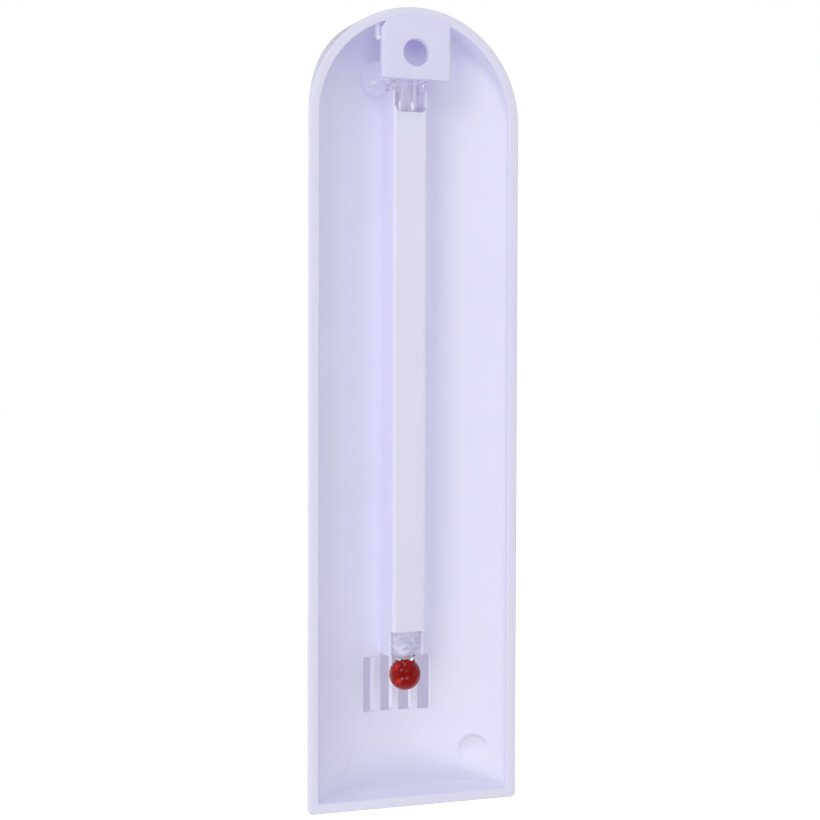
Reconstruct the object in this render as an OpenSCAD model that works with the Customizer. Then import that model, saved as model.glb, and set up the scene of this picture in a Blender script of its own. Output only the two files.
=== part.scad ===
// Indoor outdoor thermometer for hanging on a wall: a crowned white case, open at the back,
// with a glass tube in a moulded channel and its bulb behind a grille.
// Millimetres. Z is up, the printed front faces -Y and the rim at the back lies in the plane y = 0.
// The origin is the centre of the hanging hole on the back of the hanger plate.

/* [Case] */
// Height of the case
case_h = 200; // [192:1:206]
// Width of the case, and the diameter of its round top
case_w = 55.8; // [55:0.2:56.4]
// Depth from the rim to the top of the crowned front
case_d = 15.2; // [15:0.1:16.2]
// Inside radius of the crown
crown_r = 33.7; // [33.4:0.1:36]
// Thickness of the crowned front plate
plate_t = 2; // [1.8:0.1:2.3]
// Thickness of the wall that ends in the rim
wall_t = 2.5; // [2.2:0.1:2.7]
// Fillet where the front plate turns into the bottom wall, inside
foot_r = 0.8; // [0.6:0.1:2]
// Radius of the two bottom corners
corner_r = 1.1; // [0.6:0.1:2]

/* [Hanger] */
// Distance from the top of the case down to the hanging hole
hole_drop = 11.2; // [10.6:0.1:12]
// Diameter of the hanging hole
hole_d = 6.9; // [6:0.1:7.2]
// Width of the hanger plate
hanger_w = 18.2; // [17.4:0.1:18.8]
// Distance from the hole down to the plate's lower edge
hanger_drop = 6.6; // [6:0.1:7]
// Thickness of the hanger plate
hanger_t = 2; // [1.8:0.1:2.2]

/* [Tube channel] */
// Height of the closed stretch of the channel above the bottom edge
channel_z = 43.4; // [42:0.1:46]
// Distance from the hanging hole down to the upper end of the closed stretch
channel_drop = 14.3; // [13.5:0.1:16]
// Depth of the channel's back face below the rim
channel_y = 3.7; // [3.4:0.1:4]
// Thickness of the channel's walls
channel_t = 0.6; // [0.5:0.05:0.7]
// Length of side wall that stands above the closed stretch
ear_top = 5.5; // [4:0.1:6]
// Length of side wall that stands below the closed stretch
ear_foot = 6.3; // [5:0.1:6.6]

/* [Glass] */
// Width of the glass stem
stem_w = 7.9; // [7.6:0.1:8]
// How far the stem bulges towards the back
stem_back = 2.6; // [2.4:0.1:2.7]
// How far the lens of the stem bulges towards the front
stem_lens = 3.6; // [3:0.1:3.8]
// Diameter of the bulb
bulb_d = 8.1; // [7.6:0.1:8.3]
// Height of the bulb's centre above the bottom edge
bulb_z = 32.2; // [31.8:0.1:32.6]
// Thickness of the bulb's wall
bulb_t = 0.55; // [0.45:0.05:0.7]
// Diameter of the capillary bore
bore_d = 0.4; // [0.38:0.01:0.5]

/* [Spirit] */
// Diameter of the spirit column
thread_d = 0.3; // [0.28:0.01:0.34]
// Height of the column's top above the bottom edge at rest
reading_z = 127.8; // [115:0.1:140]
// Length of the column's head, which moves as one piece
head_l = 12; // [8:1:14]

/* [Grille] */
// Number of slots
slot_n = 4; // [3:1:5]
// Width of a slot
slot_w = 3.3; // [3:0.1:3.5]
// Distance from slot to slot
slot_pitch = 5.05; // [5:0.05:5.4]
// How far the grille sits to the left of the tube
slot_x = 0.3; // [-0.5:0.1:0.5]
// Height of the slots
slot_h = 14.2; // [12:0.1:15]
// Height of the slots' lower ends above the bottom edge
slot_z = 22; // [20:0.1:22.2]

/* [Hidden] */
$fn = 96;
eps = 0.01;

// heights measured from the bottom edge, turned into heights in the part's own frame
foot = hole_drop - case_h;
top = hole_drop;
dome_z = top - case_w / 2;
channel_foot = foot + channel_z;
channel_head = -channel_drop;

// the crown is a cylinder along Z; inside and outside share one axis
crown_y = crown_r + plate_t - case_d;
floor_y = crown_y - crown_r;

// the channel
channel_in = stem_w / 2 + 0.1;
channel_out = channel_in + channel_t;
channel_round = 1.1;
stem_y = -(channel_y + channel_t + stem_back + 0.1);
notch_r = 1.4;
ear_top_y = 0.7;
ear_foot_y = 2.3;
saddle_l = 1.5;
saddle_gap = 1.5;
window_bevel = 0.8;

// the seat of the hanger plate: a rebate in the dome wall and a lug on that wall, which stops the plate's side
seat_deep = 0.7;
seat_gap = 0.1;
lug_gap = 0.1;
lug_t = 0.9;
lug_foot = 3.4;
lug_sunk = 1.6;
lug_deep = 1.5;
bead_r = 0.75;
// the cut across the plate's upper left corner: its width, and where it begins and ends above the hole
cut_w = 1;
cut_low = 5.7;
cut_high = 7.3;

// the glass
bulb_c = foot + bulb_z;
stem_foot = bulb_c + 4.7;
stem_over = 8.7;
stem_head = channel_head + stem_over;
foot_round = 1.2;
head_round = 1.9;
waist_r = 2.7;
chamber_r = 0.9;
chamber_drop = 7.4;
chamber_z = stem_head - chamber_drop;
chamber_l = 3.4;
bulb_in = bulb_d / 2 - bulb_t;
throat_r = 0.8;
throat_z = bulb_c + 3.8;

// the glue: one drop beside the tube and one over its end, placed from that end
glue_side = [6.3, 0.4];
glue_side_r = 4.5;
glue_side_rise = 8.6;
glue_end = [0, -1.4];
glue_end_r = 4.7;
glue_end_rise = 10.9;

// the marks of the two ejector pins on the floor: the left pin stood too high and the right one too low
sunk_pin = [16.8, foot + 11.1];
sunk_d = 7.4;
sunk_deep = 0.3;
proud_pin = [-19.1, foot + 11.4];
proud_d = 8;
proud_h = 0.35;

// Front view of the case: a straight box under a round top, drawn inset from its edge
module outline(inset) {
    r = case_w / 2 - inset;
    round_r = max(corner_r - inset, 0.25);
    translate([0, dome_z]) circle(r, $fn = 180);
    translate([-r, foot + inset + round_r]) square([2 * r, dome_z - foot - inset - round_r]);
    translate([-r + round_r, foot + inset]) square([2 * (r - round_r), round_r + eps]);
    for (side = [-1, 1])
        translate([side * (r - round_r), foot + inset + round_r]) circle(round_r, $fn = 32);
}

// The outline as a block that reaches from y_back forward to y_front
module outline_block(inset, y_front, y_back) {
    translate([0, y_back, 0]) rotate([90, 0, 0])
        linear_extrude(y_back - y_front) outline(inset);
}

// A cylinder along the crown's axis whose lower edge is rounded like the foot of a bottle
module crown_body(r, z_low, edge_r) {
    translate([0, crown_y, z_low]) rotate_extrude($fn = 180) {
        square([r - edge_r, 2 * edge_r]);
        translate([0, edge_r]) square([r, top + 1 - z_low]);
        translate([r - edge_r, edge_r]) circle(edge_r, $fn = 32);
    }
}

// Inside of the case
module cavity() {
    intersection() {
        outline_block(wall_t, -case_d, 1);
        crown_body(crown_r, foot + wall_t, foot_r);
    }
}

// Cross-section of the lens-front stem, grown by a gap: flat-oval at the back, fuller in front
module stem_section(gap) {
    steps = 56;
    half = stem_w / 2 + gap;
    polygon([for (i = [0:steps - 1]) let (a = 360 * i / steps)
        [half * cos(a), stem_y + (sin(a) > 0 ? stem_back + gap : stem_lens + gap) * sin(a)]]);
}

// A stretch of a section drawn in X and Y, carried up Z
module along(z_low, z_high) {
    translate([0, 0, z_low]) linear_extrude(z_high - z_low) children();
}

// The channel from outside, with its two round back edges
module channel_section() {
    flat = channel_out - channel_round;
    translate([-channel_out, floor_y - plate_t / 2])
        square([2 * channel_out, -channel_y - channel_round - floor_y + plate_t / 2]);
    translate([-flat, floor_y]) square([2 * flat, -channel_y - floor_y]);
    for (side = [-1, 1])
        translate([side * flat, -channel_y - channel_round]) circle(channel_round, $fn = 32);
}

module channel_walls() {
    difference() {
        along(channel_foot - ear_foot, channel_head + ear_top) channel_section();
        // over the ears the back is open, and the side walls are lower
        translate([-channel_out - 1, -channel_y - ear_top_y, channel_head + notch_r])
            cube([2 * channel_out + 2, 2, ear_top]);
        translate([-channel_out - 1, -channel_y - ear_foot_y, channel_foot - ear_foot - 1])
            cube([2 * channel_out + 2, 3, ear_foot + 1]);
        ear_room();
    }
}

// The U-shaped room between the ears, with round corners where it meets the closed stretch
module ear_room() {
    intersection() {
        union() {
            translate([0, 1, 0]) rotate([90, 0, 0]) linear_extrude(case_d + 1) {
                translate([-channel_in, channel_head + notch_r])
                    square([2 * channel_in, ear_top + 1]);
                translate([-channel_in + notch_r, channel_head])
                    square([2 * (channel_in - notch_r), 2 * notch_r]);
                for (side = [-1, 1])
                    translate([side * (channel_in - notch_r), channel_head + notch_r])
                        circle(notch_r, $fn = 32);
            }
            along(channel_foot - ear_foot - 1, channel_foot)
                translate([-channel_in, -case_d]) square([2 * channel_in, case_d]);
        }
        crown_body(crown_r, foot + wall_t, foot_r);
    }
}

// Room for the tube: a square way behind the front window, and its bevelled front edges
module tube_room() {
    back_y = -channel_y - channel_t;
    along(channel_foot, channel_head)
        translate([-channel_in, -case_d - 1]) square([2 * channel_in, case_d + 1 + back_y]);
    along(channel_foot - window_bevel, channel_head + window_bevel) {
        lip = -case_d + window_bevel;
        wide = channel_in + window_bevel + 1;
        polygon([[-channel_in, lip], [channel_in, lip], [wide, -case_d - 1], [-wide, -case_d - 1]]);
    }
}

// A low saddle at each end, on which the front of the stem rests
module saddles() {
    for (z = [channel_foot - saddle_gap - saddle_l, channel_head + saddle_gap])
        difference() {
            along(z, z + saddle_l)
                translate([-channel_in - eps, floor_y - plate_t / 2])
                    square([2 * channel_in + 2 * eps, stem_y - floor_y + plate_t / 2 - 1]);
            along(z - 1, z + saddle_l + 1) stem_section(0.05);
        }
}

// A small lug that hangs down from the dome wall beside the plate's left side
module side_lug() {
    intersection() {
        outline_block(wall_t / 2, -lug_sunk - lug_deep, -lug_sunk);
        translate([hanger_w / 2 + lug_gap, -case_d, lug_foot]) cube([lug_t, case_d, top - lug_foot]);
    }
}

// Each slot runs square to the crown where it lies
module grille_slots() {
    for (i = [0:slot_n - 1]) {
        x = slot_x + (i - (slot_n - 1) / 2) * slot_pitch;
        translate([0, crown_y, foot + slot_z]) rotate([0, 0, asin(x / crown_r)])
            translate([-slot_w / 2, -crown_r - plate_t - 1, 0])
                cube([slot_w, plate_t + 2, slot_h]);
    }
}

// Where the plate's round upper edge sits in the dome wall
module hanger_seat() {
    intersection() {
        translate([0, 1, dome_z]) rotate([90, 0, 0])
            cylinder(r = case_w / 2 - wall_t + seat_deep, h = hanger_t + 1, $fn = 180);
        translate([-hanger_w / 2 - seat_gap, -hanger_t, 0])
            cube([hanger_w - cut_w + 2 * seat_gap, hanger_t + 1, top + 1]);
    }
}

// A round pin square to the sloping floor, between two distances from the crown's axis
module pin(at, d, near, far) {
    translate([0, crown_y, at[1]]) rotate([90, 0, asin(at[0] / crown_r)])
        translate([0, 0, near]) cylinder(d = d, h = far - near, $fn = 64);
}

module case_shell() {
    color([0.93, 0.93, 0.97])
    difference() {
        union() {
            difference() {
                intersection() {
                    outline_block(0, -case_d - 1, 0);
                    crown_body(crown_r + plate_t, foot, 1);
                }
                cavity();
            }
            channel_walls();
            saddles();
            side_lug();
            pin(proud_pin, proud_d, crown_r - proud_h, crown_r + plate_t / 2);
        }
        tube_room();
        grille_slots();
        hanger_seat();
        pin(sunk_pin, sunk_d, crown_r - 1, crown_r + sunk_deep);
    }
}

module hanger_plate() {
    edge_r = case_w / 2 - wall_t + seat_deep - seat_gap / 2;
    half = hanger_w / 2;
    color([0.95, 0.95, 0.98])
    difference() {
        intersection() {
            translate([0, 0, dome_z]) rotate([90, 0, 0])
                cylinder(r = edge_r, h = hanger_t, $fn = 180);
            rotate([90, 0, 0]) translate([0, 0, -1]) linear_extrude(hanger_t + 2)
                polygon([[-half, -hanger_drop], [half, -hanger_drop], [half, cut_low],
                         [half - cut_w, cut_high], [half - cut_w, top], [-half, top]]);
        }
        rotate([90, 0, 0]) translate([0, 0, -1]) cylinder(d = hole_d, h = hanger_t + 2);
    }
}

// A bead between the plate's side and the foot of the lug
module plate_cement() {
    side = hanger_w / 2;
    color([0.96, 0.96, 1])
    difference() {
        translate([side + lug_gap + lug_t / 2, -lug_sunk + 0.1, lug_foot]) sphere(bead_r, $fn = 32);
        translate([0, -hanger_t, -hanger_drop]) cube([side, hanger_t + 1, 3 * hanger_drop]);
        translate([side + lug_gap, -case_d, lug_foot])
            cube([lug_t, case_d - lug_sunk, 2 * bead_r]);
    }
}

// The stem with its rounded ends
module stem() {
    intersection() {
        along(stem_foot, stem_head) stem_section(0);
        translate([0, stem_y, 0]) rotate_extrude($fn = 96) {
            r = stem_w / 2 + eps;
            translate([0, stem_foot + foot_round])
                square([r, stem_head - stem_foot - foot_round - head_round]);
            translate([0, stem_foot]) square([r - foot_round, 2 * foot_round]);
            translate([r - foot_round, stem_foot + foot_round]) circle(foot_round, $fn = 48);
            translate([0, stem_head - 2 * head_round]) square([r - head_round, 2 * head_round]);
            translate([r - head_round, stem_head - head_round]) circle(head_round, $fn = 48);
        }
    }
}

// Everything inside the glass, less a gap: bulb, throat, bore and the chamber at the top
module glass_hollow() {
    translate([0, stem_y, 0]) {
        translate([0, 0, bulb_c]) sphere(bulb_in, $fn = 96);
        translate([0, 0, bulb_c]) cylinder(r = throat_r, h = throat_z - bulb_c, $fn = 48);
        translate([0, 0, throat_z - eps])
            cylinder(d = bore_d, h = chamber_z - throat_z + 1, $fn = 32);
        translate([0, 0, chamber_z]) {
            cylinder(r = chamber_r, h = chamber_l, $fn = 48);
            sphere(chamber_r, $fn = 48);
            translate([0, 0, chamber_l]) sphere(chamber_r, $fn = 48);
        }
    }
}

module glass_tube() {
    color([0.8, 0.85, 0.9, 0.35])
    difference() {
        union() {
            stem();
            translate([0, stem_y, bulb_c]) {
                sphere(d = bulb_d, $fn = 96);
                cylinder(r = waist_r, h = stem_foot - bulb_c + 1, $fn = 96);
            }
        }
        glass_hollow();
    }
}

// A drop that has set on the floor: half an ellipsoid whose base is under the floor
module drop(at, r, rise) {
    steps = 14;
    translate([at[0], floor_y - plate_t / 2, at[1]]) rotate([-90, 0, 0]) rotate_extrude($fn = 64)
        polygon([[0, 0], for (i = [0:steps]) let (a = 90 * i / steps) [r * cos(a), rise * sin(a)]]);
}

// Two merged drops of glue: one beside the tube and one behind and over its end
module glue_dab() {
    color([0.85, 0.85, 0.92, 0.6])
    difference() {
        union() {
            translate([0, 0, stem_head]) {
                drop(glue_side, glue_side_r, glue_side_rise);
                drop(glue_end, glue_end_r, glue_end_rise);
            }
        }
        // what would lie under the floor
        along(dome_z, top) translate([0, crown_y]) difference() {
            circle(crown_r + 5, $fn = 180);
            circle(crown_r, $fn = 180);
        }
        along(stem_foot, stem_head + eps) stem_section(0);
        // below the ears' upper ends the glue lies outside the left ear only
        along(dome_z, channel_head + ear_top)
            translate([-case_w / 2, -case_d]) square([case_w / 2 + channel_out, case_d]);
    }
}

module spirit_fill() {
    color([0.75, 0.02, 0.04])
    translate([0, stem_y, 0]) {
        translate([0, 0, bulb_c]) sphere(bulb_in - eps, $fn = 96);
        translate([0, 0, bulb_c])
            cylinder(r = throat_r - eps, h = throat_z - bulb_c - 2 * eps, $fn = 48);
    }
}

// The column from the throat to its head
module spirit_thread() {
    z_low = throat_z;
    z_high = foot + reading_z - head_l;
    color([0.8, 0.03, 0.05])
    translate([0, stem_y, z_low]) cylinder(d = thread_d, h = z_high - z_low, $fn = 32);
}

// The top of the column, hollowed by its meniscus
module spirit_head() {
    dish_r = thread_d * 0.7;
    color([0.85, 0.04, 0.06])
    translate([0, stem_y, foot + reading_z - head_l])
    difference() {
        cylinder(d = thread_d, h = head_l, $fn = 32);
        translate([0, 0, head_l + dish_r * 0.75]) sphere(dish_r, $fn = 32);
    }
}

case_shell();
hanger_plate();
plate_cement();
glass_tube();
glue_dab();
spirit_fill();
spirit_thread();
spirit_head();
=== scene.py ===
import bpy
import bmesh
import math
import numpy as np
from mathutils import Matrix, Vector


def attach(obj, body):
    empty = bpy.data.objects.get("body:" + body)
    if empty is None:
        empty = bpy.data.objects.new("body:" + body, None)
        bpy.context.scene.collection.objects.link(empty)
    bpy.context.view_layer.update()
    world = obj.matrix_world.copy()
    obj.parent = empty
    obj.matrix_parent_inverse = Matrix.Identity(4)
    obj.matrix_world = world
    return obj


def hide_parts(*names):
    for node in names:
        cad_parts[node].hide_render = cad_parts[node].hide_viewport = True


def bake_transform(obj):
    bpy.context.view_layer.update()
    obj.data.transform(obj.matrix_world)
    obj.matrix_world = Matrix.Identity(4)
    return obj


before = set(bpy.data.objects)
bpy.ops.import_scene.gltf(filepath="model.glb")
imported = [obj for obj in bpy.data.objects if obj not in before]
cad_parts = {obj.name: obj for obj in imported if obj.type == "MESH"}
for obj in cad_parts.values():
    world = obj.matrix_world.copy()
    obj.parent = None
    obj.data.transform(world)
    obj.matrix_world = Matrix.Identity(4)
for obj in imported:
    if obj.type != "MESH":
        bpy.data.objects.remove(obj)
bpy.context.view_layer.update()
scene = bpy.context.scene
mm = 0.001  # sizes and places are in millimetres unless a note says otherwise
print("frame loaded:", len(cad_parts), "nodes")

# the camera, fitted to the outline of the case in the photograph; its turn is in degrees
camera = dict(place=(163.224, 416.863, -78.225), turn=(88.604, -0.180, 158.803), lens=78.524, sensor=36)

cam = bpy.data.objects.new("photoCamera", bpy.data.cameras.new("photoCamera"))
cam.location = [v * mm for v in camera["place"]]
cam.rotation_euler = [math.radians(v) for v in camera["turn"]]
cam.data.lens = camera["lens"]
cam.data.sensor_width = camera["sensor"]
cam.data.clip_start = 0.01
cam.data.clip_end = 50
scene.collection.objects.link(cam)
scene.camera = cam
scene.view_settings.view_transform = "Standard"
scene.view_settings.look = "None"

# what the backdrop sends out, and the lamps: place in metres, edge in metres, watts
light = dict(world=0.49, gloss=0.25, tint=(1, 0.995, 0.955), aim=(0, 0, -0.09),
             boxes=dict(keyHigh=((0.60, 0.50, 0.40), 0.4, 1.25), above=((0.15, 0.36, 0.95), 0.4, 0.80),
                        keyLow=((0.60, 0.50, -0.55), 0.4, 1.00), backLow=((0.1, 0.80, -0.50), 0.4, 1.00),
                        backHigh=((0.1, 0.80, 0.32), 0.4, 0.72), right=((-0.70, 0.50, -0.09), 0.4, 0.32),
                        graze=((0.82, 0.22, -0.09), 0.4, 0.45), front=((0.30, -0.70, -0.15), 0.7, 2.30)),
             glints=dict(high=((0.50, 0.62, 0.35), 0.04, 0.6), low=((0.45, 0.60, -0.45), 0.04, 0.6)))


def feed(tree, socket, source):
    # joins an output to a socket, or sets a plain value; a node stands for its first output in use
    if isinstance(source, bpy.types.Node):
        source = next(output for output in source.outputs if output.enabled)
    if isinstance(source, bpy.types.NodeSocket):
        tree.links.new(source, socket)
    else:
        socket.default_value = source


def addNode(tree, kind, place, feeds=None, **settings):
    # a shader node at its place in the tree, with its settings first and then what feeds its sockets
    node = tree.nodes.new("ShaderNode" + kind)
    node.location = place
    for name, value in settings.items():
        setattr(node, name, value)
    for label, source in (feeds or {}).items():
        feed(tree, node.inputs[label], source)
    return node


def softBox(name, place, size, power):
    # a square area light that looks at the middle of the case
    lamp = bpy.data.lights.new(name, "AREA")
    lamp.shape = "SQUARE"
    lamp.size = size
    lamp.energy = power
    lamp.color = light["tint"]
    lampObj = bpy.data.objects.new(name, lamp)
    lampObj.location = place
    lampObj.rotation_euler = (Vector(light["aim"]) - Vector(place)).to_track_quat("-Z", "Y").to_euler()
    lampObj.visible_camera = False
    scene.collection.objects.link(lampObj)
    return lampObj


# the backdrop is plain white; the light that it sends is softer, and what gloss mirrors of it is dim
world = bpy.data.worlds.new("studio")
scene.world = world
world.use_nodes = True
sky = world.node_tree
skyRay = addNode(sky, "LightPath", (-800, 0)).outputs
skyFeeds = {"Value": skyRay["Is Glossy Ray"], "To Min": light["world"], "To Max": light["gloss"]}
skyGloss = addNode(sky, "MapRange", (-550, 0), skyFeeds)
skyFeeds = {"Value": skyRay["Is Camera Ray"], "To Min": skyGloss, "To Max": 1}
skyLevel = addNode(sky, "MapRange", (-300, 0), skyFeeds)
feed(sky, sky.nodes["Background"].inputs["Color"], (1, 1, 1, 1))
feed(sky, sky.nodes["Background"].inputs["Strength"], skyLevel)

for name, (place, size, power) in light["boxes"].items():
    softBox(name + "Box", place, size, power)
for name, (place, size, power) in light["glints"].items():
    softBox(name + "Glint", place, size, power).visible_diffuse = False  # only gloss and glass see these
print("camera and light set")


# shader groups

def newGroup(name, inputs, outputs):
    # a shader group whose inputs start as a number, a vector of three or a colour of four
    group = bpy.data.node_groups.new(name, "ShaderNodeTree")
    kinds = {1: "NodeSocketFloat", 3: "NodeSocketVector", 4: "NodeSocketColor"}
    for label, value in inputs.items():
        kind = kinds[len(value) if isinstance(value, tuple) else 1]
        group.interface.new_socket(label, in_out="INPUT", socket_type=kind).default_value = value
    for label, kind in outputs.items():
        group.interface.new_socket(label, in_out="OUTPUT", socket_type="NodeSocket" + kind)
    given, made = group.nodes.new("NodeGroupInput"), group.nodes.new("NodeGroupOutput")
    given.location, made.location = (-1200, 0), (700, 0)
    return group, given.outputs, made.inputs


def objectPoint(tree, place):
    # where a point lies on the object itself, so that the pattern moves with it
    return addNode(tree, "TexCoord", place).outputs["Object"]


def mixColors(tree, place, factor, first, second):
    # the first colour where the factor is nought, the second where it is one
    return addNode(tree, "Mix", place, {"Factor": factor, "A": first, "B": second}, data_type="RGBA")


def times(tree, place, first, second):
    # one value multiplied by the other
    return addNode(tree, "Math", place, {0: first, 1: second}, operation="MULTIPLY")


def softRamp(tree, place, source, start, end):
    # rises smoothly from nought at start to one at end
    return addNode(tree, "MapRange", place, {"Value": source, "From Min": start, "From Max": end},
                   interpolation_type="SMOOTHSTEP")


def mouldedSkin():
    # soft flow clouds and a fine tool grain, as a tinted colour, a roughness and a height
    inputs = {"Tint": (0.8, 0.8, 0.9, 1), "Deep Tint": (0.7, 0.7, 0.86, 1), "Rough": 0.4}
    outputs = {"Color": "Color", "Roughness": "Float", "Height": "Float"}
    group, given, made = newGroup("mouldedSkin", inputs, outputs)
    point = objectPoint(group, (-900, -300))
    cloud = addNode(group, "TexNoise", (-600, 200), {"Vector": point, "Scale": 55, "Detail": 3})
    grain = addNode(group, "TexNoise", (-600, -50), {"Vector": point, "Scale": 2600, "Detail": 2})
    flow = addNode(group, "TexNoise", (-600, -300), {"Vector": point, "Scale": 240, "Detail": 4})
    depth = addNode(group, "MapRange", (-350, 200), {"Value": cloud, "From Min": 0.35, "From Max": 0.75})
    wear = addNode(group, "Math", (-100, -50), {0: flow, 1: 0.16, 2: given["Rough"]},
                   operation="MULTIPLY_ADD")
    relief = addNode(group, "Math", (-100, -300), {0: flow, 1: 0.35, 2: grain}, operation="MULTIPLY_ADD")
    feed(group, made["Color"], mixColors(group, (-100, 200), depth, given["Tint"], given["Deep Tint"]))
    feed(group, made["Roughness"], wear)
    feed(group, made["Height"], relief)
    return group


def slowWaves():
    # the waves in glass, glue and cement, as a height
    group, given, made = newGroup("slowWaves", {"Scale": 300.0}, {"Height": "Float"})
    point = objectPoint(group, (-900, 0))
    waves = addNode(group, "TexNoise", (-300, 0), {"Vector": point, "Scale": given["Scale"], "Detail": 2})
    feed(group, made["Height"], waves)
    return group


def nearSpot():
    # the share of light or shade round a spot: whole out to near and none past far, on stretched axes
    inputs = {"Spot": (0.0, 0.0, 0.0), "Stretch": (1.0, 1.0, 1.0), "Near": 0.1 * mm, "Far": mm, "Share": 1.0}
    group, given, made = newGroup("nearSpot", inputs, {"Linear": "Float", "Soft": "Float"})
    point = objectPoint(group, (-900, 200))
    here = addNode(group, "VectorMath", (-600, 200), {0: point, 1: given["Stretch"]}, operation="MULTIPLY")
    spot = addNode(group, "VectorMath", (-600, -100), {0: given["Spot"], 1: given["Stretch"]},
                   operation="MULTIPLY")
    away = addNode(group, "VectorMath", (-300, 0), {0: here, 1: spot}, operation="DISTANCE")
    feeds = {"Value": away, "From Min": given["Near"], "From Max": given["Far"], "To Min": given["Share"],
             "To Max": 0}
    for label, kind, high in (("Linear", "LINEAR", 150), ("Soft", "SMOOTHSTEP", -150)):
        feed(group, made[label], addNode(group, "MapRange", (0, high), feeds, interpolation_type=kind))
    return group


def pinShade():
    # painted shade on a pin mark: on its lip and on the face inside it, both towards its turn
    inputs = {"Middle": (0.0, 0.0, 0.0), "Widen": (1.0, 0.0, 1.0), "Toward": (1.0, 0.0, 0.0),
              "Radius": 4 * mm, "Lip Shade": 0.2, "Face Shade": 0.05}
    group, given, made = newGroup("pinShade", inputs, {"Mask": "Float"})
    point = objectPoint(group, (-1200, 300))
    offset = addNode(group, "VectorMath", (-1000, 300), {0: point, 1: given["Middle"]}, operation="SUBTRACT")
    flat = addNode(group, "VectorMath", (-800, 300), {0: offset, 1: given["Widen"]}, operation="MULTIPLY")
    far = addNode(group, "VectorMath", (-600, 400), {0: flat}, operation="LENGTH")
    toward = addNode(group, "VectorMath", (-600, 100), {0: flat, 1: given["Toward"]}, operation="DOT_PRODUCT")
    past = addNode(group, "Math", (-400, 400), {0: far, 1: given["Radius"]}, operation="SUBTRACT")
    lean = addNode(group, "Math", (-400, 100), {0: toward, 1: given["Radius"]}, operation="DIVIDE")
    side = softRamp(group, (-200, 100), lean, -0.2, 0.8)
    lip = times(group, (0, 500), softRamp(group, (-200, 600), past, 0.5 * mm, 0.1 * mm),
                softRamp(group, (-200, 400), past, -0.9 * mm, -0.2 * mm))
    face = softRamp(group, (-200, -100), past, 0.0, -0.4 * mm)
    lipPart = times(group, (300, 400), times(group, (150, 400), lip, side), given["Lip Shade"])
    facePart = times(group, (300, 0), times(group, (150, 0), face, side), given["Face Shade"])
    both = addNode(group, "Math", (500, 200), {0: lipPart, 1: facePart}, operation="ADD", use_clamp=True)
    feed(group, made["Mask"], both)
    return group


skinGroup, waveGroup, spotGroup, pinGroup = mouldedSkin(), slowWaves(), nearSpot(), pinShade()


# materials

def opaque(color):
    # three parts of a colour and full cover
    return (*color, 1)


def newMaterial(name, feeds):
    # a material whose even values are set on the shader's own sockets
    mat = bpy.data.materials.new(name)
    mat.use_nodes = True
    shader = mat.node_tree.nodes["Principled BSDF"]
    for label, value in feeds.items():
        feed(mat.node_tree, shader.inputs[label], value)
    return mat, mat.node_tree, shader


def pickShader(tree, mask, first, second):
    # shows the second shader where the mask is one
    pick = addNode(tree, "MixShader", (300, 0), {0: mask, 1: first, 2: second})
    feed(tree, tree.nodes["Material Output"].inputs["Surface"], pick)


def spotMask(tree, place, spot, near, far, stretch=(1, 1, 1), share=1.0):
    # the group that tells how near a point is to a spot
    feeds = {"Spot": [v * mm for v in spot], "Stretch": stretch, "Near": near * mm, "Far": far * mm,
             "Share": share}
    return addNode(tree, "Group", place, feeds, node_tree=spotGroup).outputs


def plasticMaterial(name, look, paintedShadeMask=None):
    # moulded plastic, whose glow is painted light that stands for the light coming through a thin wall;
    # the optional mask function builds a mask in the material's tree, and the plastic takes the look's
    # painted shade where it is one
    glow = opaque(look.get("glow", (0, 0, 0)))
    mat, tree, shader = newMaterial(name, {"IOR": 1.55, "Emission Color": glow, "Emission Strength": 1.0})
    feeds = {"Tint": opaque(look["tint"]), "Deep Tint": opaque(look["deep"]), "Rough": look["rough"]}
    skin = addNode(tree, "Group", (-600, 0), feeds, node_tree=skinGroup).outputs
    color = skin["Color"]
    if paintedShadeMask:
        color = mixColors(tree, (-250, 200), paintedShadeMask(tree), color, opaque(look["shade"]))
    feeds = {"Strength": look["bump"], "Distance": 0.03 * mm, "Height": skin["Height"]}
    lift = addNode(tree, "Bump", (-300, -200), feeds)
    feed(tree, shader.inputs["Base Color"], color)
    feed(tree, shader.inputs["Roughness"], skin["Roughness"])
    feed(tree, shader.inputs["Normal"], lift)
    return mat


def clearMaterial(name, look):
    # clear stuff with slow waves in its surface, which casts almost no shadow
    feeds = {"Base Color": opaque(look["tint"]), "Roughness": look["rough"], "IOR": look["ior"],
             "Transmission Weight": look["clear"]}
    mat, tree, shader = newMaterial(name, feeds)
    wave = addNode(tree, "Group", (-600, 0), {"Scale": look["waveScale"]}, node_tree=waveGroup)
    feeds = {"Strength": look["bump"], "Distance": look["waveHeight"] * mm, "Height": wave}
    lift = addNode(tree, "Bump", (-300, -200), feeds)
    feed(tree, shader.inputs["Normal"], lift)
    ray = addNode(tree, "LightPath", (0, 300)).outputs["Is Shadow Ray"]
    through = addNode(tree, "BsdfTransparent", (0, -300), {"Color": opaque(0.96 * v for v in look["tint"])})
    pickShader(tree, ray, shader, through)
    return mat, shader


# behind the hanger plate the dome carries painted shade, deepening towards its top, as the photograph shows
# it through the hole
casePlastic = dict(tint=(0.77, 0.765, 0.92), deep=(0.75, 0.745, 0.905), rough=0.36, bump=0.25,
                   glow=(0.05, 0.052, 0.078), shade=(0.60, 0.53, 0.84), shadeSpot=(-4.5, -12.7, 6.5),
                   shadeNear=2.0, shadeFar=6.6, shadeStretch=(1, 3, 1))
hangerPlastic = dict(tint=(0.75, 0.755, 0.965), deep=(0.73, 0.735, 0.95), rough=0.40, bump=0.35,
                     glow=(0.03, 0.03, 0.05))
scaleInk = dict(tint=(0.02, 0.02, 0.025), deep=(0.04, 0.04, 0.045), rough=0.42, bump=0.3)


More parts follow.
